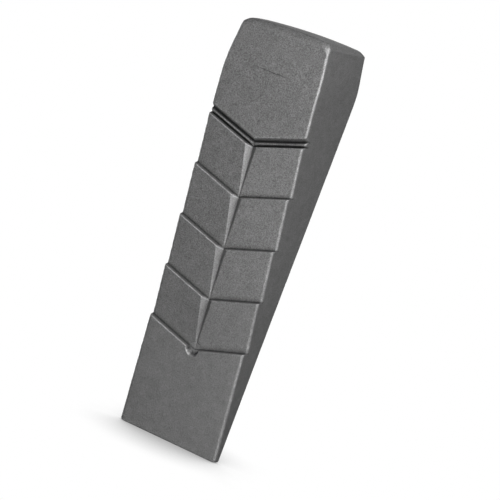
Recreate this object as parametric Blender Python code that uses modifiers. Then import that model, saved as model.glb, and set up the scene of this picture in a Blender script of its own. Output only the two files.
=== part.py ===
"""Barbed felling wedge, cast in one piece.

Frame: +Z up along the wedge, thin tip edge at the bottom, striking head at the top.
The barbed front faces -Y, the flat back faces +Y.  The origin is the centre of the
bounding box's bottom.  Metres.

The front and back faces lean apart from the tip to the head.  The front carries rows of
saw-tooth plates, split by a V groove along the middle.  The ledges between rows form
chevrons whose points look at the tip, and each ledge's steep wall faces the head, so that
a driven wedge does not slip back out of the cut.
"""

import math

import bmesh
import bpy
from mathutils import Matrix, Vector

# Overall size
LENGTH = 0.230
DEPTH = 0.0391              # bounding box, front to back
WIDTH = 0.0607              # side to side, measured at y = 0
SIDE_DRAFT = 0.10           # the sides open towards the back by this much per unit of depth

# Side profile
TIP_THICKNESS = 0.00345
BACK_SLOPE = 0.078
BACK_BEND_Z = 0.2065        # the back face ends here, the head's back starts
FRONT_SLOPE = 0.0915        # slope of the line through the barbs' proud edges
FRONT_BEND_Z = (0.1983, 0.2080)
HEAD_SLOPE = 0.130          # the head's face is steeper, and meets that line at the bend
HEAD_TOP_Z = 0.2262         # where the top chamfer starts
HEAD_FRONT_TAPER = 0.0006
HEAD_BACK_TAPER = 0.0007
HEAD_SIDE_TAPER = 0.0027
SIDE_BEND_Z = (0.1990, 0.2080)
CROWN_RADIUS = 0.300
CROWN_STEPS = 12

# Barbs
LEDGE_COUNT = 5
LAST_LEDGE_Z = 0.0617       # proud edge of the lowest ledge, at the wedge's sides
LEDGE_PITCH = 0.0283
CHEVRON_DROP = 0.0093       # a ledge's middle is this much nearer the tip than its ends
BARB_HEIGHT = 0.0032
WALL_RUN = 0.0008           # a ledge's wall leans by this much over its height
TIP_PLATE_SLOPE = 0.1185

# Channel under the head, V groove, and the round hollow at the groove's lower end
CHANNEL_FLOOR = 0.0030
CHANNEL_WALL_RUN = 0.0018
CHANNEL_DEPTH_BELOW_BASE = 0.0003
GROOVE_DEPTH_BELOW_BASE = 0.0001
HOLLOW_RADIUS = 0.0034
HOLLOW_DEPTH_BELOW_BASE = 0.0002
HOLLOW_SEGMENTS = 32

# The blank stands out further than the sides and the barbs; cutters reach past what they cut
BLANK_HALF_WIDTH = 0.036
BLANK_PROUD = 0.001
CLEARANCE = 0.008
OVERLAP = 0.00005
MERGE = 0.00001

CHEVRON_ANGLE = math.atan(CHEVRON_DROP / (WIDTH / 2))

SIDE_AXIS = Vector((1, 0, 0))
UP_THE_FRONT = Vector((0, -FRONT_SLOPE, 1)).normalized()
OUT_OF_FRONT = SIDE_AXIS.cross(UP_THE_FRONT)
UP_THE_HEAD = Vector((0, -HEAD_SLOPE, 1)).normalized()


def front_y(z):
    """Line through the barbs' proud edges."""
    return -DEPTH / 2 - FRONT_SLOPE * (z - FRONT_BEND_Z[0])


def head_front_y(z):
    """Line of the head's front face, below its bend."""
    return -DEPTH / 2 - HEAD_SLOPE * (z - FRONT_BEND_Z[0])


def back_y(z):
    return DEPTH / 2 - BACK_SLOPE * (BACK_BEND_Z - z)


def tip_front_y(z):
    return back_y(0) - TIP_THICKNESS - TIP_PLATE_SLOPE * z


def base_point(z):
    """Point on the middle of the plane that the barbs rise from."""
    return Vector((0, front_y(z), z)) - OUT_OF_FRONT * BARB_HEIGHT


def ledge_z(index):
    """Height of a ledge's proud edge on the centre line; ledge 0 is under the head."""
    return LAST_LEDGE_Z + LEDGE_PITCH * (LEDGE_COUNT - 1 - index) - CHEVRON_DROP


def frame_matrix(x_axis, y_axis, origin):
    """Matrix that takes a flat outline's x, y to the given axes at origin."""
    z_axis = x_axis.cross(y_axis)
    matrix = Matrix((x_axis, y_axis, z_axis)).transposed().to_4x4()
    matrix.translation = origin
    return matrix


def chevron_matrix(up_the_face, origin):
    """Outline x runs up a face square to the right-hand ledges, y runs out of the face."""
    up = up_the_face * math.cos(CHEVRON_ANGLE) - SIDE_AXIS * math.sin(CHEVRON_ANGLE)
    return frame_matrix(up, SIDE_AXIS.cross(up_the_face), origin)


def prism(name, outline, half_length, matrix, collection):
    """A flat outline, extruded both ways, as a mesh object."""
    curve = bpy.data.curves.new(name, "CURVE")
    curve.dimensions = "2D"
    curve.fill_mode = "BOTH"
    curve.extrude = half_length
    spline = curve.splines.new("POLY")
    spline.points.add(len(outline) - 1)
    for point, (x, y) in zip(spline.points, outline):
        point.co = (x, y, 0, 1)
    spline.use_cyclic_u = True
    source = bpy.data.objects.new(name + "_outline", curve)
    bpy.context.scene.collection.objects.link(source)
    bpy.context.view_layer.update()
    evaluated = source.evaluated_get(bpy.context.evaluated_depsgraph_get())
    mesh = bpy.data.meshes.new_from_object(evaluated)
    mesh.name = name
    bpy.data.objects.remove(source)
    mesh.transform(matrix)
    clean(mesh)
    result = bpy.data.objects.new(name, mesh)
    collection.objects.link(result)
    return result


def clean(mesh):
    """Weld the caps to the walls and point the faces outwards."""
    bm = bmesh.new()
    bm.from_mesh(mesh)
    bmesh.ops.remove_doubles(bm, verts=bm.verts, dist=MERGE)
    bmesh.ops.dissolve_limit(bm, angle_limit=0.001, verts=bm.verts, edges=bm.edges)
    bmesh.ops.recalc_face_normals(bm, faces=bm.faces)
    bm.to_mesh(mesh)
    bm.free()


def mirror(target, bisect):
    """Mirror to the other side; bisect first trims the half at the middle plane."""
    modifier = target.modifiers.new("mirror", "MIRROR")
    modifier.use_axis[0] = True
    modifier.use_bisect_axis[0] = bisect
    modifier.merge_threshold = MERGE


def cut(target, cutter):
    cutter.hide_render = True
    cutter.display_type = "WIRE"
    modifier = target.modifiers.new("cut_" + cutter.name, "BOOLEAN")
    modifier.operation = "DIFFERENCE"
    modifier.solver = "EXACT"
    modifier.object = cutter


def make_blank(collection):
    """Side profile of the whole wedge, wider than needed."""
    last_ledge_top = LAST_LEDGE_Z + WALL_RUN * 2
    next_ledge = LAST_LEDGE_Z + LEDGE_PITCH
    top = LENGTH + OVERLAP
    chamfer = top - HEAD_TOP_Z
    head_front = -DEPTH / 2 + HEAD_FRONT_TAPER
    head_back = DEPTH / 2 - HEAD_BACK_TAPER
    outline = [
        (tip_front_y(0), 0),
        (tip_front_y(last_ledge_top), last_ledge_top),
        (front_y(next_ledge) - BLANK_PROUD, next_ledge),
        (-DEPTH / 2, FRONT_BEND_Z[0] - BLANK_PROUD / FRONT_SLOPE),
        (-DEPTH / 2, FRONT_BEND_Z[1]),
        (head_front, HEAD_TOP_Z),
        (head_front + chamfer, top),
        (head_back - chamfer, top),
        (head_back, HEAD_TOP_Z),
        (back_y(BACK_BEND_Z), BACK_BEND_Z),
        (back_y(0), 0),
    ]
    matrix = frame_matrix(Vector((0, 1, 0)), Vector((0, 0, 1)), Vector())
    return prism("wedge_body", outline, BLANK_HALF_WIDTH, matrix, collection)


def make_side_cutter(collection):
    """Trims the drafted sides, the head's side taper and its top chamfer."""
    reach = WIDTH
    edge = WIDTH / 2
    head_edge = edge - HEAD_SIDE_TAPER
    top = LENGTH + CLEARANCE
    outline = [
        (edge, -CLEARANCE),
        (edge, SIDE_BEND_Z[0]),
        (edge - HEAD_SIDE_TAPER / 10, SIDE_BEND_Z[1]),
        (head_edge, HEAD_TOP_Z),
        (head_edge - (top - HEAD_TOP_Z), top),
        (reach, top),
        (reach, -CLEARANCE),
    ]
    draft = Vector((1, -SIDE_DRAFT, 0)).normalized()
    pivot = Vector((edge, 0, 0)) - draft * edge
    matrix = frame_matrix(draft, Vector((0, 0, 1)), pivot)
    cutter = prism("sides", outline, WIDTH, matrix, collection)
    mirror(cutter, bisect=False)
    return cutter


def make_crown_cutter(collection):
    """Leaves the striking face slightly domed from side to side."""
    half = WIDTH
    outline = []
    for step in range(CROWN_STEPS + 1):
        x = -WIDTH / 2 + WIDTH * step / CROWN_STEPS
        outline.append((x, LENGTH - x * x / (2 * CROWN_RADIUS)))
    outline.append((half, LENGTH))
    outline.append((half, LENGTH + CLEARANCE))
    outline.append((-half, LENGTH + CLEARANCE))
    outline.append((-half, LENGTH))
    matrix = frame_matrix(SIDE_AXIS, Vector((0, 0, 1)), Vector())
    return prism("crown", outline, DEPTH, matrix, collection)


def wall_top():
    """Where a ledge's wall line, carried on outwards, reaches the cutters' outer side."""
    return (WALL_RUN - WALL_RUN * CLEARANCE / BARB_HEIGHT, CLEARANCE)


def make_chevron_cutter(name, outline, matrix, collection):
    matrix.translation += matrix.to_3x3() @ Vector((0, 0, WIDTH / 4))
    cutter = prism(name, outline, WIDTH, matrix, collection)
    mirror(cutter, bisect=True)
    return cutter


def make_row_cutter(index, collection):
    """Leaves one row of plates: level with the base above ledge `index`, proud at the next."""
    run = LEDGE_PITCH * math.cos(CHEVRON_ANGLE) / UP_THE_FRONT.z
    rise = BARB_HEIGHT / (run - WALL_RUN)
    outline = [
        (WALL_RUN, 0),
        (run + OVERLAP, BARB_HEIGHT + OVERLAP * rise),
        (run + OVERLAP, CLEARANCE),
        wall_top(),
    ]
    matrix = chevron_matrix(UP_THE_FRONT, base_point(ledge_z(index)))
    return make_chevron_cutter("row_" + str(index), outline, matrix, collection)


def make_channel_cutter(collection):
    floor = -CHANNEL_DEPTH_BELOW_BASE
    floor_start = WALL_RUN - WALL_RUN * floor / BARB_HEIGHT
    floor_end = WALL_RUN + CHANNEL_FLOOR
    lean = CHANNEL_WALL_RUN / BARB_HEIGHT
    outline = [
        (floor_start, floor),
        (floor_end, floor),
        (floor_end + lean * (CLEARANCE - floor), CLEARANCE),
        wall_top(),
    ]
    matrix = chevron_matrix(UP_THE_FRONT, base_point(ledge_z(0)))
    return make_chevron_cutter("channel", outline, matrix, collection)


def make_head_face_cutter(collection):
    """Brings the head's face down to its own plane, from the channel to the bend."""
    start = WALL_RUN + CHANNEL_FLOOR / 2
    end = LENGTH - LAST_LEDGE_Z - LEDGE_PITCH * (LEDGE_COUNT - 1)
    outline = [(start, 0), (end, 0), (end, CLEARANCE), (start, CLEARANCE)]
    origin = Vector((0, head_front_y(ledge_z(0)), ledge_z(0)))
    matrix = chevron_matrix(UP_THE_HEAD, origin)
    return make_chevron_cutter("head_face", outline, matrix, collection)


def make_groove_cutter(collection):
    """Square V groove along the centre line, from the channel to the lowest ledge."""
    start = base_point(ledge_z(LEDGE_COUNT - 1))
    end = base_point(ledge_z(0)) + UP_THE_FRONT * (WALL_RUN + CHANNEL_FLOOR / 2)
    depth = GROOVE_DEPTH_BELOW_BASE
    outline = [
        (0, -depth),
        (CLEARANCE + depth, CLEARANCE),
        (-CLEARANCE - depth, CLEARANCE),
    ]
    matrix = frame_matrix(SIDE_AXIS, OUT_OF_FRONT, (start + end) / 2)
    return prism("groove", outline, (end - start).length / 2, matrix, collection)


def make_hollow_cutter(collection):
    depth = CLEARANCE + HOLLOW_DEPTH_BELOW_BASE
    centre = base_point(ledge_z(LEDGE_COUNT - 1))
    centre += OUT_OF_FRONT * (depth / 2 - HOLLOW_DEPTH_BELOW_BASE)
    mesh = bpy.data.meshes.new("hollow")
    bm = bmesh.new()
    bmesh.ops.create_cone(
        bm, cap_ends=True, segments=HOLLOW_SEGMENTS,
        radius1=HOLLOW_RADIUS, radius2=HOLLOW_RADIUS, depth=depth,
    )
    bm.to_mesh(mesh)
    bm.free()
    mesh.transform(frame_matrix(SIDE_AXIS, UP_THE_FRONT, centre))
    cutter = bpy.data.objects.new("hollow", mesh)
    collection.objects.link(cutter)
    return cutter


def make_material():
    material = bpy.data.materials.new("cast_aluminium")
    material.use_nodes = True
    shader = material.node_tree.nodes["Principled BSDF"]
    shader.inputs["Base Color"].default_value = (0.30, 0.30, 0.30, 1)
    shader.inputs["Metallic"].default_value = 0.8
    shader.inputs["Roughness"].default_value = 0.6
    return material


def new_collection(name):
    collection = bpy.data.collections.new(name)
    bpy.context.scene.collection.children.link(collection)
    return collection


def main():
    for old in list(bpy.data.objects):
        bpy.data.objects.remove(old)
    parts = new_collection("felling_wedge")
    cutters = new_collection("cutters")
    body = make_blank(parts)
    body.data.materials.append(make_material())
    cut(body, make_side_cutter(cutters))
    cut(body, make_crown_cutter(cutters))
    for index in range(1, LEDGE_COUNT):
        cut(body, make_row_cutter(index, cutters))
    cut(body, make_channel_cutter(cutters))
    cut(body, make_head_face_cutter(cutters))
    cut(body, make_groove_cutter(cutters))
    cut(body, make_hollow_cutter(cutters))


main()
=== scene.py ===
import math

import bpy
import numpy as np
from mathutils import Matrix, Vector, noise


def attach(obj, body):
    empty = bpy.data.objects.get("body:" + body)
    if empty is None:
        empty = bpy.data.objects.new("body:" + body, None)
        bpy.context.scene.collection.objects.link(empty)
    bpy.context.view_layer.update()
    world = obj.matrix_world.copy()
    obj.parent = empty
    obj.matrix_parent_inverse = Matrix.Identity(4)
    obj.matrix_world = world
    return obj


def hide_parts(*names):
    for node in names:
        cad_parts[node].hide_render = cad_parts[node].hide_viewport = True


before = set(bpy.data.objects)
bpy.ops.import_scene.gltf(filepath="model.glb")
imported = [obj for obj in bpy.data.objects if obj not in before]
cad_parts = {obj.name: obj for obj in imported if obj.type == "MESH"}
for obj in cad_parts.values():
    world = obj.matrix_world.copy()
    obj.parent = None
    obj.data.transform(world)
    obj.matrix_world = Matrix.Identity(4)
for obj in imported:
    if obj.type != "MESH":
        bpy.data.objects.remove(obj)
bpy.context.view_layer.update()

# Felling wedge, cast aluminium.  Metres, in the CAD frame: +Z from the tip edge up to the
# striking head, barbed front to -Y, flat back to +Y.
MM = 0.001

# Overall sizes, as in the CAD, with a slight flare towards the tip
LENGTH = 230.0 * MM
DEPTH = 39.1 * MM
WIDTH = 60.7 * MM
SIDE_DRAFT = 0.10
SIDE_TILT = math.atan(SIDE_DRAFT)
SIDE_SECANT = math.hypot(1, SIDE_DRAFT)
SIDE_FLARE = 0.25 * MM          # the tip is this much wider on each side
SIDE_FLARE_Z = 75 * MM
TIP_THICKNESS = 3.45 * MM
BACK_SLOPE = 0.078
BACK_BEND_Z = 206.5 * MM
FRONT_SLOPE = 0.0915
FRONT_BEND_Z = 198.3 * MM
TIP_PLATE_SLOPE = 0.1185
HEAD_SLOPE = 0.130
HEAD_TOP_Z = 226.2 * MM
CROWN_RADIUS = 300 * MM

# The head's upper part draws in on every side
HEAD_FRONT_KNEE_Z = 208.0 * MM
HEAD_FRONT_DRAW = 0.033
HEAD_SIDE_KNEE_Z = 206.0 * MM
HEAD_SIDE_DRAW = 0.1335
HEAD_BACK_DRAW = 0.0355
FRONT_KNEE_BLEND = 1.0 * MM
SIDE_KNEE_BLEND = 1.1 * MM
BACK_KNEE_BLEND = 0.10 * MM

# Barbs, within 0.6 mm of the CAD's
LEDGE_COUNT = 5                 # the first one is under the head
FIRST_LEDGE_Z = 174.75 * MM
LAST_LEDGE_Z = 61.65 * MM
LEDGE_PITCH = 28.5 * MM
CHEVRON_DROP = 9.3 * MM
BARB_HEIGHT = 3.2 * MM
WALL_RUN = 0.70 * MM
LEDGE_EDGE_RADIUS = 0.55 * MM
LEDGE_FOOT_RADIUS = 0.10 * MM

# Channel under the head: distance above the first ledge, height above the base, rounding
CHANNEL = (
    (0.75 * MM, -0.15 * MM, 0.08 * MM),
    (2.20 * MM, 1.75 * MM, 0.60 * MM),
    (3.50 * MM, -0.65 * MM, 0.08 * MM),
)
HEAD_WALL_TOP = 5.4 * MM
HEAD_WALL_RADIUS = 0.7 * MM

# V groove along the middle and the hollow at its lower end
GROOVE_DEPTH = 0.1 * MM
GROOVE_WALL_SLOPE = 1.05
GROOVE_BLEND = 0.35 * MM
HOLLOW_RADIUS = 3.6 * MM
HOLLOW_RISE = 1.5 * MM          # its centre is above the lowest ledge's vertex
HOLLOW_FLOOR = 0.1 * MM         # above the base plane
HOLLOW_WALL_SLOPE = 6.0
HOLLOW_BLEND = 0.2 * MM

# Rounded long edges, tip and striking face
RIM_RADIUS = 1.4 * MM           # at the head
RIM_RADIUS_TIP = 1.6 * MM
# Brightening along the rim: some wear and a painted highlight
RIM_WEAR_AND_HIGHLIGHT = 0.25
RIM_WOBBLE = 0.40               # share of the radius
RIM_WOBBLE_SIZE = 3.0 * MM
BACK_EDGE_RADIUS = 0.45 * MM
TIP_RADIUS = 0.8 * MM
TIP_CORNER_RADIUS = 1.4 * MM
CHAMFER_FRONT_BLEND = 1.4 * MM
CHAMFER_SIDE_BLEND = 0.4 * MM
CROWN_BLEND = 0.9 * MM
CROWN_TILT = 0.02               # the struck face is worn a little lower on its left
HEAD_CORNER_CUT = 3.6 * MM      # widens the rim's rounding across the front at the top
HEAD_CORNER_REACH = 3.0 * MM

# How far wear and a painted highlight spread from a proud edge, and painted shade from a crease
EDGE_REACH = 0.50 * MM
CREASE_REACH = 1.3 * MM
CREASE_CLIMB = 0.3              # heights count this much, so the painted shade climbs the walls
CREASE_NARROWING = 3            # on a crease's open side
# Strength of the painted shade in each kind of crease
LEDGE_SHADE = 0.7
CHANNEL_LOW_SHADE = 0.85
CHANNEL_HIGH_SHADE = 0.7
HOLLOW_SHADE = 0.9

# Mesh rings bend into the chevron's shape up to the first height, and out of it again
# between the other two
BENT_Z = LAST_LEDGE_Z - 6 * MM
STRAIGHTEN_Z = FIRST_LEDGE_Z + HEAD_WALL_TOP + 3 * MM
STRAIGHT_Z = HEAD_TOP_Z - 4 * MM

# The chamfer's rings run on past the struck face, which cuts them off
CHAMFER_END_Z = HEAD_TOP_Z + 2 * (LENGTH - HEAD_TOP_Z)

# Mesh density
RING_STEP = 0.8 * MM
FINE_RING_STEP = 0.25 * MM      # near the hollow
ARC_STEPS = 6
RIM_STEPS = 7
GROOVE_HALF_WIDTH = 4.4 * MM
GROOVE_COLUMNS = 24
PLATE_COLUMNS = 28
SIDE_ROWS = 15
BACK_COLUMNS = 18
CROWN_RINGS = 24
CHAMFER_RINGS = 26

# Unevenness of the casting: (size of the waves, how far they move the surface)
WAVES = ((22 * MM, 0.055 * MM), (6.5 * MM, 0.035 * MM), (2.4 * MM, 0.020 * MM))

# The casting's tone: patches, mottling and grain, as sizes and spreads round 1
BASE_TONE = 0.26
CLOUD_SIZE = 45 * MM
CLOUD_TONE = (0.95, 1.05)
MOTTLE_SIZE = 5 * MM
MOTTLE_TONE = (0.93, 1.07)
GRAIN_SIZE = 0.62 * MM
GRAIN_TONE = (-0.4, 0.4)        # added to 1
NOISE_RANGE = (0.3, 0.7)        # most of a noise texture's values

# The grain is finer near the tip, and where the surface faces sideways
FINE_GRAIN = 0.55
FINE_TO_COARSE_Z = (30 * MM, 110 * MM)
SIDE_GRAIN = 0.6
SIDEWAYS = (0.5, 0.9)

# Wear with a painted highlight, in patches, and painted shade, in creases and in hidden places
WORN_AND_HIGHLIT_TONE = 1.7
EDGE_UNSHADED = 1.25
PATCH_SIZE = 1.8 * MM
PATCH_RANGE = (0.35, 0.65)
PATCH_STRENGTH = (0.4, 1.3)
CREASE_SHADE_TONE = 0.27
CREASE_SHADE_RANGE = (0.05, 0.8)
# Painted shade in hidden places, from how closely the wedge's own surfaces surround a point
HIDDEN_TONE = 0.35
HIDDEN_RANGE = (0.25, 0.85)
HIDDEN_REACH = 4.5 * MM
HIDDEN_SAMPLES = 8

# Relief and gloss
RELIEF = 0.16 * MM
RELIEF_STRENGTH = 0.85
PIT_SIZE = 0.30 * MM
PIT_DEPTH = 0.4                 # share of the grain's
METALLIC = 0.85
ROUGHNESS = (0.52, 0.68)

# The scratch on the head: middle, half length, half widths of its core and its fade, how
# far it wanders, and how much it darkens
SCRATCH_X = -0.8 * MM
SCRATCH_Z = 205.8 * MM
SCRATCH_HALF = 11 * MM
SCRATCH_CORE = 0.12 * MM
SCRATCH_FADE = 0.4 * MM
SCRATCH_WANDER = 0.25 * MM
SCRATCH_WANDER_SIZE = 4 * MM
SCRATCH_DEPTH = 0.45

# Soft lights round the wedge: name, azimuth, elevation, distance, size, watts
LIGHTS = (
    ("key", 45, 10, 0.35, 0.2, 1.0),
    ("front", 5, -18, 1.2, 0.8, 2.5),
    ("under", 15, -40, 1.2, 0.8, 2.3),
    ("over", 40, 50, 1.2, 0.6, 12.0),
    ("side", 95, 45, 0.5, 0.3, 0.3),
    ("top", 195, 12, 1.5, 1.0, 2.5),
    ("back", 190, -8, 1.5, 0.8, 12.0),
    ("left", 248, 0, 1.5, 0.8, 12.0),
)

WHITE = (1, 1, 1, 1)
FLOOR_HALF = 80.0

# The contact shadow: how far it reaches, and its darkest tone
SHADOW_REACH = 45 * MM
SHADOW_TONE = 0.45
SHADOW_RANGE = (0.45, 0.93)
SHADOW_SAMPLES = 16

# The surround's strength in front of the wedge and behind it
SURROUND_FRONT = 0.02
SURROUND_BACK = 0.04
SURROUND_TURN = (0.2, 1.0)      # share of a direction that points backwards

# Camera, placed around a point on the wedge; angles in degrees
CAMERA_TARGET = (9.07 * MM, 3.67 * MM, 112.41 * MM)
CAMERA_DISTANCE = 1094.9 * MM
CAMERA_AZIMUTH = 24.5
CAMERA_ELEVATION = 9.24
CAMERA_ROLL = 18.55
CAMERA_LENS = 150.2
CAMERA_SENSOR = 36.0


def smooth_min(a, b, blend):
    """Minimum of a and b with the corner between them rounded."""
    near = np.maximum(blend - np.abs(a - b), 0) / blend
    return np.minimum(a, b) - near * near * blend / 4


def smooth_max(a, b, blend):
    """Maximum of a and b with the corner between them rounded."""
    return -smooth_min(-a, -b, blend)


# Sides and side profile of the wedge, as functions of z

def back_y(z):
    """The flat back, which draws in above its bend."""
    flat = DEPTH / 2 - BACK_SLOPE * (BACK_BEND_Z - z)
    drawn_in = DEPTH / 2 - HEAD_BACK_DRAW * (z - BACK_BEND_Z)
    return smooth_min(flat, drawn_in, BACK_KNEE_BLEND)


def base_y(z):
    """The plane that the barbs rise from."""
    return -DEPTH / 2 - FRONT_SLOPE * (z - FRONT_BEND_Z) + BARB_HEIGHT


def tip_height(z):
    """The tip plate's height above the base plane."""
    tip_back = DEPTH / 2 - BACK_SLOPE * BACK_BEND_Z
    return base_y(z) - (tip_back - TIP_THICKNESS - TIP_PLATE_SLOPE * z)


def head_height(z):
    """The head's height above the base plane, rounded over where it draws in."""
    face = -DEPTH / 2 - HEAD_SLOPE * (z - FRONT_BEND_Z)
    drawn_in = -DEPTH / 2 + HEAD_FRONT_DRAW * (z - HEAD_FRONT_KNEE_Z)
    return base_y(z) - smooth_max(face, drawn_in, FRONT_KNEE_BLEND)


def half_width(z):
    """Half width at y = 0."""
    draw = smooth_max(0 * z, HEAD_SIDE_DRAW * (z - HEAD_SIDE_KNEE_Z), SIDE_KNEE_BLEND)
    flare = SIDE_FLARE * np.maximum(1 - z / SIDE_FLARE_Z, 0)
    return WIDTH / 2 + flare - draw


def tip_corner(z):
    """How far the tip edge's rounded ends are in from the sides."""
    below = max(TIP_CORNER_RADIUS - z, 0)
    return TIP_CORNER_RADIUS - math.sqrt(TIP_CORNER_RADIUS ** 2 - below ** 2)


def rounded(corners):
    """A polyline with its corners, given as (a, b, radius), turned into arcs."""
    points = [corners[0][:2]]
    for before, corner, after in zip(corners, corners[1:], corners[2:]):
        middle = Vector(corner[:2])
        back = (Vector(before[:2]) - middle).normalized()
        ahead = (Vector(after[:2]) - middle).normalized()
        half_angle = back.angle(ahead) / 2
        reach = corner[2] / math.tan(half_angle)
        centre = middle + (back + ahead).normalized() * corner[2] / math.sin(half_angle)
        start = middle + back * reach - centre
        end = middle + ahead * reach - centre
        sweep = start.angle(end)
        for step in range(ARC_STEPS + 1):
            part = step / ARC_STEPS
            arm = start * math.sin((1 - part) * sweep) + end * math.sin(part * sweep)
            points.append(tuple(centre + arm / math.sin(sweep)))
    points.append(corners[-1][:2])
    return points


def ledge_z(index):
    """Where a ledge's proud edge meets the sides; ledge 0 is under the head."""
    if index == 0:
        return FIRST_LEDGE_Z
    return LAST_LEDGE_Z + LEDGE_PITCH * (LEDGE_COUNT - 1 - index)


def front_profile():
    """The front at the wedge's sides: (z, height above the base plane)."""
    start = (TIP_RADIUS, tip_height(TIP_RADIUS), 0)
    corners = [start]
    for index in reversed(range(LEDGE_COUNT)):
        z = ledge_z(index)
        height = tip_height(z) if index == LEDGE_COUNT - 1 else BARB_HEIGHT
        corners.append((z, height, LEDGE_EDGE_RADIUS))
        if index > 0:
            corners.append((z + WALL_RUN, 0, LEDGE_FOOT_RADIUS))
    for rise, height, radius in CHANNEL:
        corners.append((FIRST_LEDGE_Z + rise, height, radius))
    head = FIRST_LEDGE_Z + HEAD_WALL_TOP
    corners.append((head, head_height(head), HEAD_WALL_RADIUS))
    top = head + 2 * RING_STEP
    corners.append((top, head_height(top), 0))
    return rounded(corners)


def proud_edges():
    """(z, height) of the barbs' edges and the head's lower edge."""
    edges = [(ledge_z(index), BARB_HEIGHT) for index in range(LEDGE_COUNT)]
    edges[-1] = (LAST_LEDGE_Z, tip_height(LAST_LEDGE_Z))
    head = FIRST_LEDGE_Z + HEAD_WALL_TOP
    return edges + [(head, head_height(head))]


def creases():
    """The inner corners: z, height, narrowing below and above it, strength of the painted shade.
    """
    upwards = (1, CREASE_NARROWING)
    downwards = (CREASE_NARROWING, 1)
    feet = [(ledge_z(index) + WALL_RUN, 0, *upwards, LEDGE_SHADE)
            for index in range(1, LEDGE_COUNT)]
    low, _, high = CHANNEL
    feet.append((FIRST_LEDGE_Z + low[0], low[1], *upwards, CHANNEL_LOW_SHADE))
    feet.append((FIRST_LEDGE_Z + high[0], high[1], *downwards, CHANNEL_HIGH_SHADE))
    return feet


def wear_and_highlight_at(s, height):
    """Wear and painted highlight: 1 on a proud edge, fading to 0."""
    distance = min(math.hypot(s - z, height - h) for z, h in proud_edges())
    return max(1 - distance / EDGE_REACH, 0)


def crease_shade_at(s, height):
    """Painted shade: most in an inner corner, fading to 0 up its walls."""
    most = 0
    for z, h, below, above, strength in creases():
        run = (s - z) * (below if s < z else above)
        distance = math.hypot(run, CREASE_CLIMB * (height - h))
        most = max(most, strength * (1 - distance / CREASE_REACH))
    return most


def fill(points):
    """Adds points so that no two neighbours are further apart than a ring step."""
    filled = [points[0]]
    for before, after in zip(points, points[1:]):
        near_hollow = abs(before[0] - LAST_LEDGE_Z) < 2 * HOLLOW_RADIUS
        spacing = FINE_RING_STEP if near_hollow else RING_STEP
        count = max(1, math.ceil((after[0] - before[0]) / spacing))
        for step in range(1, count + 1):
            part = step / count
            filled.append(tuple(a + (b - a) * part for a, b in zip(before, after)))
    return filled


def face_rings():
    """Rings from the tip to the head's top, as Ring's arguments."""
    profile = fill(front_profile())
    rings = [(z, height, 0.0, 0.0, z) for z, height in profile]
    start = profile[-1][0]
    end = HEAD_TOP_Z - CHAMFER_FRONT_BLEND
    count = math.ceil((end - start) / RING_STEP)
    for step in range(1, count):
        z = start + (end - start) * step / count
        rings.append((z, head_height(z), 0.0, 0.0, z))
    return rings


def tip_rings():
    """Rings round the tip's edge, from its flat bottom up."""
    rings = []
    for step in range(ARC_STEPS):
        turn = math.pi / 2 * step / ARC_STEPS
        z = TIP_RADIUS * (1 - math.cos(turn))
        inset = TIP_RADIUS * (1 - math.sin(turn))
        rings.append((TIP_RADIUS, tip_height(TIP_RADIUS), inset, inset, z))
    return rings


def head_rings():
    """Rings over the chamfer round the striking face: soft at the front, crisp at the sides."""
    start = HEAD_TOP_Z - CHAMFER_FRONT_BLEND
    rings = []
    for step in range(CHAMFER_RINGS + 1):
        z = start + (CHAMFER_END_Z - start) * step / CHAMFER_RINGS
        front = smooth_max(0, z - HEAD_TOP_Z, CHAMFER_FRONT_BLEND)
        side = smooth_max(0, z - HEAD_TOP_Z, CHAMFER_SIDE_BLEND)
        rings.append((z, head_height(z), front, side, z))
    return rings


def share(value, low, high):
    """How far value is from low to high, from 0 to 1."""
    return np.clip((value - low) / (high - low), 0, 1)


def hollow_distance(x, z):
    """Distance from the hollow's middle."""
    return np.hypot(x, z - (LAST_LEDGE_Z - CHEVRON_DROP + HOLLOW_RISE))


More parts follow.
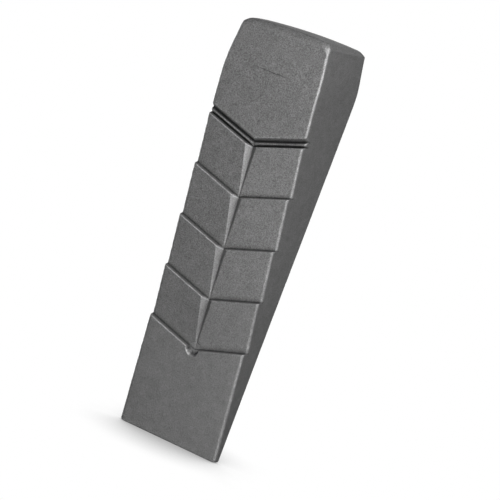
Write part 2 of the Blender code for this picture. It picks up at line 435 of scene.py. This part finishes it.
class Ring:
    """One closed line round the wedge, chevron-shaped across the front.

    s is how far up the wedge it meets the front's edges, and height how far the front
    stands off the base plane there.  front_inset moves the front inwards, and inset the
    sides and the back.  rise is the z it is placed at, which differs from s only round
    the tip's edge.
    """

    def __init__(self, s, height, front_inset, inset, rise):
        self.s = s
        self.height = height
        self.front_inset = front_inset
        self.rise = rise
        self.half = half_width(s) - tip_corner(rise) - inset * SIDE_SECANT
        self.back = back_y(s) - inset
        bent = share(s, TIP_RADIUS, BENT_Z)
        straight = share(s, STRAIGHTEN_Z, STRAIGHT_Z)
        self.drop = CHEVRON_DROP * min(bent, 1 - straight)
        # The front's edge, closing in on where it meets the drafted side
        self.corner = self.half
        for x in (self.half, self.half + SIDE_DRAFT * self.back):
            self.front_edge = self.front(x)
            self.corner = self.half + SIDE_DRAFT * self.front_edge

    def z(self, x):
        """z of the front's points, before the ring is placed."""
        if self.drop == 0:
            return self.s + 0 * x
        outwards = np.clip(np.abs(x) / self.corner, 0, 1)
        return self.s - self.drop * (1 - outwards)

    def surface(self, x, z):
        """Height above the base plane, before the groove and the hollow."""
        if self.s < LAST_LEDGE_Z + WALL_RUN:
            weight = share(self.height, 0, tip_height(LAST_LEDGE_Z))
            if self.s < LAST_LEDGE_Z:
                weight = 1
            return self.height + weight * (tip_height(z) - tip_height(self.s))
        if self.s > FIRST_LEDGE_Z + CHANNEL[-1][0]:
            weight = share(self.height, 0, head_height(FIRST_LEDGE_Z + HEAD_WALL_TOP))
            if self.s > FIRST_LEDGE_Z + HEAD_WALL_TOP:
                weight = 1
            return self.height + weight * (head_height(z) - head_height(self.s))
        return self.height + 0 * z

    def front(self, x):
        """y of the front face."""
        z = self.z(x)
        height = self.surface(x, z)
        if LAST_LEDGE_Z + WALL_RUN / 2 < self.s < FIRST_LEDGE_Z + CHANNEL[1][0]:
            groove = GROOVE_WALL_SLOPE * np.abs(x) - GROOVE_DEPTH
            height = smooth_min(height, groove, GROOVE_BLEND)
        wall = (hollow_distance(x, z) - HOLLOW_RADIUS) * HOLLOW_WALL_SLOPE + BARB_HEIGHT / 2
        hollow = smooth_max(wall, HOLLOW_FLOOR + 0 * x, HOLLOW_BLEND)
        height = smooth_min(height, hollow, HOLLOW_BLEND)
        return base_y(z) - height + self.front_inset

    def back_line(self):
        """x, y along the flat back from its middle, and round its edge."""
        end = self.half + SIDE_DRAFT * (self.back - BACK_EDGE_RADIUS)
        end -= BACK_EDGE_RADIUS * SIDE_SECANT
        x = np.linspace(0, end, BACK_COLUMNS + 1)[:-1]
        flat = np.stack((x, np.full_like(x, self.back)), axis=1)
        turn = np.linspace(math.pi / 2, -SIDE_TILT, RIM_STEPS + 1)
        arc = np.stack((
            end + BACK_EDGE_RADIUS * np.cos(turn),
            self.back - BACK_EDGE_RADIUS * (1 - np.sin(turn)),
        ), axis=1)
        return np.concatenate((flat, arc))

    def rim_line(self):
        """x, y round the long edge, from the side to the front."""
        even = RIM_RADIUS_TIP + (RIM_RADIUS - RIM_RADIUS_TIP) * share(self.s, 0, FIRST_LEDGE_Z)
        wobble = noise.noise(Vector((0, 0, self.s / RIM_WOBBLE_SIZE)))
        radius = even * (1 + RIM_WOBBLE * wobble)
        cut = HEAD_CORNER_CUT * share(self.s, HEAD_TOP_Z - HEAD_CORNER_REACH, HEAD_TOP_Z)
        start = self.half + SIDE_DRAFT * (self.front_edge + radius) - radius * SIDE_SECANT - cut
        turn = np.linspace(0, math.pi / 2 - SIDE_TILT, RIM_STEPS + 1)
        x = start + (radius + cut) * np.sin(turn)
        y = self.front(x) + radius * (1 - np.cos(turn))
        return np.stack((x, y), axis=1)[::-1]

    def face_line(self, start):
        """x, y across the front, from the rim to the middle of the groove."""
        plate = np.linspace(start, GROOVE_HALF_WIDTH, PLATE_COLUMNS + 1)[1:]
        groove = np.linspace(GROOVE_HALF_WIDTH, 0, GROOVE_COLUMNS + 1)[1:]
        x = np.concatenate((plate, groove))
        return np.stack((x, self.front(x)), axis=1)

    def wear_and_painted_light(self, x, y, z):
        """Wear with painted highlight, and painted shade, at the front's points, of which the
        first ones are the rim's.
        """
        crease = crease_shade_at(self.s, self.height)
        crease_shade = np.full(len(x), float(crease))
        wear_and_highlight = np.full(len(x), float(wear_and_highlight_at(self.s, self.height)))
        # Along the rim's arc: a painted highlight with some wear, kept out of the painted crease
        # shade
        arc = np.sin(np.linspace(0, math.pi, RIM_STEPS + 1))
        wear_and_highlight[:len(arc)] = RIM_WEAR_AND_HIGHLIGHT * arc * (1 - crease)
        # Round the hollow: painted shade at its foot, wear and a painted highlight on its lip
        if abs(self.s - LAST_LEDGE_Z) < 2 * HOLLOW_RADIUS:
            height = base_y(z) - y
            half_run = BARB_HEIGHT / 2 / HOLLOW_WALL_SLOPE
            away = hollow_distance(x, z) - HOLLOW_RADIUS
            foot = np.hypot(away + half_run, CREASE_CLIMB * height)
            lip = np.hypot(away - half_run, height - BARB_HEIGHT)
            if self.s < LAST_LEDGE_Z + WALL_RUN / 2:
                crease_shade = np.maximum(crease_shade, HOLLOW_SHADE * (1 - foot / CREASE_REACH))
            wear_and_highlight = np.maximum(wear_and_highlight, 1 - lip / EDGE_REACH)
        return wear_and_highlight, crease_shade

    def half_points(self):
        """The right half from the middle of the back to the middle of the front.

        Each row is x, y, z, wear with painted highlight, painted crease shade.
        """
        back = self.back_line()
        rim = self.rim_line()
        part = np.linspace(0, 1, SIDE_ROWS + 1)[1:-1, None]
        side = back[-1] * (1 - part) + rim[0] * part
        plain = np.concatenate((back, side))
        plain = np.column_stack((plain, np.full(len(plain), self.rise), np.zeros((len(plain), 2))))
        x, y = np.concatenate((rim, self.face_line(rim[-1, 0]))).T
        z = self.z(x) + (self.rise - self.s)
        front = np.column_stack((x, y, z, *self.wear_and_painted_light(x, y, z)))
        return np.concatenate((plain, front))

    def points(self):
        """All round: the right half, then its mirror image back to the start."""
        right = self.half_points()
        left = right[-2:0:-1] * (-1, 1, 1, 1, 1)
        return np.concatenate((right, left))


def crown_z(x, y):
    """The struck face, a shallow dome."""
    return LENGTH - (x * x + y * y) / (2 * CROWN_RADIUS)


def build_rows():
    """All rings, stacked from the flat bottom over the head to the crown's middle."""
    rings = [Ring(*values).points() for values in tip_rings() + face_rings()]
    for values in head_rings():
        rows = Ring(*values).points()
        rows[:, 2] = smooth_min(rows[:, 2], crown_z(rows[:, 0], rows[:, 1]), CROWN_BLEND)
        rings.append(rows)
    edge = rings[-1]
    middle = edge.mean(axis=0)
    for step in range(1, CROWN_RINGS + 1):
        rows = edge + (middle - edge) * step / CROWN_RINGS
        rows[:, 2] = crown_z(rows[:, 0], rows[:, 1])
        rings.append(rows)
    around = len(edge)
    # The last ring has shrunk to the middle, so one of its points is enough
    rows = np.concatenate(rings)[:1 - around]
    high = share(rows[:, 2], HEAD_TOP_Z - 2 * HEAD_CORNER_REACH, HEAD_TOP_Z)
    rows[:, 2] += CROWN_TILT * rows[:, 0] * high
    return rows, around


def wave(points):
    """The casting's unevenness at each point."""
    total = np.zeros(len(points))
    for size, amount in WAVES:
        for index, point in enumerate(points):
            total[index] += amount * noise.noise(Vector(point) / size)
    return total


def wedge_faces(count, around):
    """The flat bottom, the quads between rings and the fan round the crown's middle.

    The rings run clockwise as seen from above, and every face is turned outwards.
    """
    middle = count - 1
    faces = [tuple(range(around))]
    for first in range(0, middle - around, around):
        for step in range(around):
            ahead = (step + 1) % around
            above = first + around
            faces.append((first + step, above + step, above + ahead, first + ahead))
    last = middle - around
    for step in range(around):
        faces.append((last + (step + 1) % around, last + step, middle))
    return faces


def make_wedge():
    """The casting as one closed mesh, with its wear and painted highlight, and its painted crease
    shade, as attributes.
    """
    rows, around = build_rows()
    vertices = rows[:, :3]
    mesh = bpy.data.meshes.new("cast_wedge")
    mesh.from_pydata(vertices.tolist(), [], wedge_faces(len(rows), around))
    mesh.update()
    normals = np.array([vertex.normal for vertex in mesh.vertices])
    sunk = wave(vertices)[:, None] * normals
    sunk[vertices[:, 2] < TIP_RADIUS / 2] = 0
    mesh.vertices.foreach_set("co", (vertices - sunk).ravel())
    # Wear with painted highlight, and painted crease shade, stored as point attributes
    for column, name in ((3, "wear_and_highlight"), (4, "crease_shade")):
        attribute = mesh.attributes.new(name, "FLOAT", "POINT")
        attribute.data.foreach_set("value", rows[:, column].copy())
    mesh.update()
    mesh.shade_smooth()
    wedge = bpy.data.objects.new("cast_wedge", mesh)
    bpy.context.scene.collection.objects.link(wedge)
    return wedge


# Materials

class Graph:
    """Short calls for building the node tree of a material or a world."""

    def __init__(self, owner):
        owner.use_nodes = True
        self.tree = owner.node_tree
        self.tree.nodes.clear()

    def add(self, kind, settings=None, **inputs):
        """A node; an input is a value or another node's output, in_0 being the first."""
        node = self.tree.nodes.new(kind)
        for key, value in (settings or {}).items():
            setattr(node, key, value)
        for key, value in inputs.items():
            socket = self.socket(node, key)
            if isinstance(value, bpy.types.NodeSocket):
                self.tree.links.new(value, socket)
            else:
                socket.default_value = value
        return node

    def socket(self, node, key):
        if key.startswith("in_"):
            return node.inputs[int(key[3:])]
        return node.inputs[key.replace("_", " ")]

    def math(self, operation, a, b=0.0):
        settings = {"operation": operation}
        return self.add("ShaderNodeMath", settings, in_0=a, in_1=b).outputs[0]

    def product(self, first, *others):
        for other in others:
            first = self.math("MULTIPLY", first, other)
        return first

    def axes(self, vector):
        """The X, Y and Z of a vector."""
        return self.add("ShaderNodeSeparateXYZ", Vector=vector).outputs

    def spread(self, value, low, high, to_low, to_high):
        """Maps low..high to to_low..to_high, clamped."""
        node = self.add(
            "ShaderNodeMapRange", Value=value,
            From_Min=low, From_Max=high, To_Min=to_low, To_Max=to_high)
        return node.outputs[0]

    def vary(self, noise, low, high):
        """Spreads a noise texture's values over low..high."""
        return self.spread(noise, *NOISE_RANGE, low, high)

    def noise(self, place, size, detail=2.0, roughness=0.5):
        node = self.add(
            "ShaderNodeTexNoise", Vector=place,
            Scale=1 / size, Detail=detail, Roughness=roughness)
        return node.outputs["Fac"]

    def attribute(self, name):
        return self.add("ShaderNodeAttribute", {"attribute_name": name}).outputs["Fac"]

    def openness(self, samples, reach):
        """1 in the open, less where something is near."""
        settings = {"samples": samples}
        return self.add("ShaderNodeAmbientOcclusion", settings, Distance=reach).outputs["AO"]


def scratch(graph, place):
    """A faint dark scratch across the head's front, as a factor of the tone."""
    axes = graph.axes(place)
    wander = graph.vary(
        graph.noise(place, SCRATCH_WANDER_SIZE), -SCRATCH_WANDER, SCRATCH_WANDER)
    across = graph.math("SUBTRACT", axes["Z"], graph.math("ADD", wander, SCRATCH_Z))
    along = graph.math("SUBTRACT", axes["X"], SCRATCH_X)
    near = graph.spread(graph.math("ABSOLUTE", across), SCRATCH_CORE, SCRATCH_FADE, 1, 0)
    inside = graph.spread(
        graph.math("ABSOLUTE", along), SCRATCH_HALF / 2, SCRATCH_HALF, SCRATCH_DEPTH, 0)
    front = graph.spread(axes["Y"], -DEPTH / 4, 0, 1, 0)
    return graph.math("SUBTRACT", 1.0, graph.product(near, inside, front))


def grain_strength(graph, place):
    """Full on the upper front, finer near the tip and on the sides."""
    sideways = graph.axes(graph.add("ShaderNodeTexCoord").outputs["Normal"])["X"]
    return graph.product(
        graph.spread(graph.axes(place)["Z"], *FINE_TO_COARSE_Z, FINE_GRAIN, 1.0),
        graph.spread(graph.math("ABSOLUTE", sideways), *SIDEWAYS, 1.0, SIDE_GRAIN))


def wear_and_painted_light_tones(graph, place):
    """Brighter on edges, from wear and a painted highlight, and darker in creases and hidden
    places, from painted shade, as two factors of the tone.
    """
    wear_and_highlight = graph.attribute("wear_and_highlight")
    patchy = graph.spread(graph.noise(place, PATCH_SIZE), *PATCH_RANGE, *PATCH_STRENGTH)
    worn_and_lit = graph.spread(graph.product(wear_and_highlight, patchy), 0.0, 1.0, 1.0, WORN_AND_HIGHLIT_TONE)
    # Painted shade where the wedge's own surfaces close round a point
    openness = graph.openness(HIDDEN_SAMPLES, HIDDEN_REACH)
    hidden = graph.spread(openness, *HIDDEN_RANGE, HIDDEN_TONE, 1.0)
    # Edges with wear and painted highlight stay out of the painted shade
    hidden = graph.math("MAXIMUM", hidden, graph.product(wear_and_highlight, EDGE_UNSHADED))
    # Painted shade in the creases, darkening the tone
    crease_shaded = graph.spread(graph.attribute("crease_shade"), *CREASE_SHADE_RANGE, 1.0, CREASE_SHADE_TONE)
    return worn_and_lit, graph.product(hidden, crease_shaded)


def make_cast_aluminium():
    """Dull grey casting: fine sand grain, painted shade in creases, edges brighter from wear and a
    painted highlight.
    """
    material = bpy.data.materials.new("cast_aluminium_grain")
    graph = Graph(material)
    place = graph.add("ShaderNodeTexCoord").outputs["Object"]
    cloud = graph.vary(graph.noise(place, CLOUD_SIZE, detail=3), *CLOUD_TONE)
    mottle = graph.vary(
        graph.noise(place, MOTTLE_SIZE, detail=3, roughness=0.6), *MOTTLE_TONE)
    grain = graph.noise(place, GRAIN_SIZE, roughness=0.55)
    strength = grain_strength(graph, place)
    speckle = graph.product(graph.vary(grain, *GRAIN_TONE), strength)
    speckle = graph.math("ADD", 1.0, speckle)
    tone = graph.product(
        cloud, mottle, speckle, *wear_and_painted_light_tones(graph, place), scratch(graph, place), BASE_TONE)
    colour = graph.add("ShaderNodeCombineColor", Red=tone, Green=tone, Blue=tone)

    pits = graph.noise(place, PIT_SIZE, roughness=0.6)
    relief = graph.math("ADD", grain, graph.product(pits, PIT_DEPTH))
    bump = graph.add(
        "ShaderNodeBump", Height=relief, Distance=RELIEF,
        Strength=graph.product(strength, RELIEF_STRENGTH))
    shader = graph.add(
        "ShaderNodeBsdfPrincipled", Base_Color=colour.outputs[0], Metallic=METALLIC,
        Roughness=graph.vary(grain, *ROUGHNESS), Normal=bump.outputs[0])
    graph.add("ShaderNodeOutputMaterial", Surface=shader.outputs[0])
    return material


def make_floor():
    """A white floor, darker only round the place where the wedge touches it."""
    material = bpy.data.materials.new("pale_floor")
    graph = Graph(material)
    openness = graph.openness(SHADOW_SAMPLES, SHADOW_REACH)
    tone = graph.spread(openness, *SHADOW_RANGE, SHADOW_TONE, 1.0)
    shader = graph.add("ShaderNodeEmission", Color=WHITE, Strength=tone)
    graph.add("ShaderNodeOutputMaterial", Surface=shader.outputs[0])
    mesh = bpy.data.meshes.new("floor")
    corners = [(x, y, 0) for x, y in ((-1, -1), (1, -1), (1, 1), (-1, 1))]
    mesh.from_pydata(corners, [], [(0, 1, 2, 3)])
    mesh.transform(Matrix.Scale(FLOOR_HALF, 4))
    mesh.materials.append(material)
    floor = bpy.data.objects.new("floor", mesh)
    bpy.context.scene.collection.objects.link(floor)
    floor.visible_diffuse = False
    floor.visible_glossy = False
    floor.visible_shadow = False


# Lights, surround and camera

def direction(azimuth, elevation):
    """Unit vector from the wedge towards a place; azimuth 0 is the front, 90 the right."""
    a = math.radians(azimuth)
    e = math.radians(elevation)
    return Vector((math.sin(a) * math.cos(e), -math.cos(a) * math.cos(e), math.sin(e)))


def make_light(name, azimuth, elevation, distance, size, watts):
    """A round soft light aimed at the wedge's middle."""
    data = bpy.data.lights.new(name, "AREA")
    data.shape = "DISK"
    data.size = size
    data.energy = watts
    light = bpy.data.objects.new(name, data)
    towards = direction(azimuth, elevation)
    light.location = Vector((0, 0, LENGTH / 2)) + towards * distance
    light.rotation_mode = "QUATERNION"
    light.rotation_quaternion = towards.to_track_quat("Z", "Y")
    bpy.context.scene.collection.objects.link(light)


def make_world():
    """White to the camera, a soft grey surround to everything else."""
    world = bpy.data.worlds.new("studio")
    graph = Graph(world)
    behind = graph.axes(graph.add("ShaderNodeTexCoord").outputs["Generated"])["Y"]
    strength = graph.spread(behind, *SURROUND_TURN, SURROUND_FRONT, SURROUND_BACK)
    surround = graph.add("ShaderNodeBackground", Color=WHITE, Strength=strength)
    seen = graph.add("ShaderNodeBackground", Color=WHITE)
    camera_ray = graph.add("ShaderNodeLightPath").outputs["Is Camera Ray"]
    mix = graph.add(
        "ShaderNodeMixShader",
        in_0=camera_ray, in_1=surround.outputs[0], in_2=seen.outputs[0])
    graph.add("ShaderNodeOutputWorld", Surface=mix.outputs[0])
    bpy.context.scene.world = world


def make_camera():
    """The camera, turned round its line of sight by the roll."""
    data = bpy.data.cameras.new("camera")
    data.lens = CAMERA_LENS
    data.sensor_width = CAMERA_SENSOR
    camera = bpy.data.objects.new("camera", data)
    towards = direction(CAMERA_AZIMUTH, CAMERA_ELEVATION)
    level = Vector((0, 0, 1)).cross(towards).normalized()
    upright = towards.cross(level)
    roll = math.radians(CAMERA_ROLL)
    right = level * math.cos(roll) + upright * math.sin(roll)
    up = upright * math.cos(roll) - level * math.sin(roll)
    matrix = Matrix((right, up, towards)).transposed().to_4x4()
    matrix.translation = Vector(CAMERA_TARGET) + towards * CAMERA_DISTANCE
    camera.matrix_world = matrix
    bpy.context.scene.collection.objects.link(camera)
    bpy.context.scene.camera = camera


wedge = make_wedge()
wedge.data.materials.append(make_cast_aluminium())
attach(wedge, "root")
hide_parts("wedge_body")

make_floor()
make_world()
for light in LIGHTS:
    make_light(*light)
make_camera()
bpy.context.scene.view_settings.view_transform = "Standard"
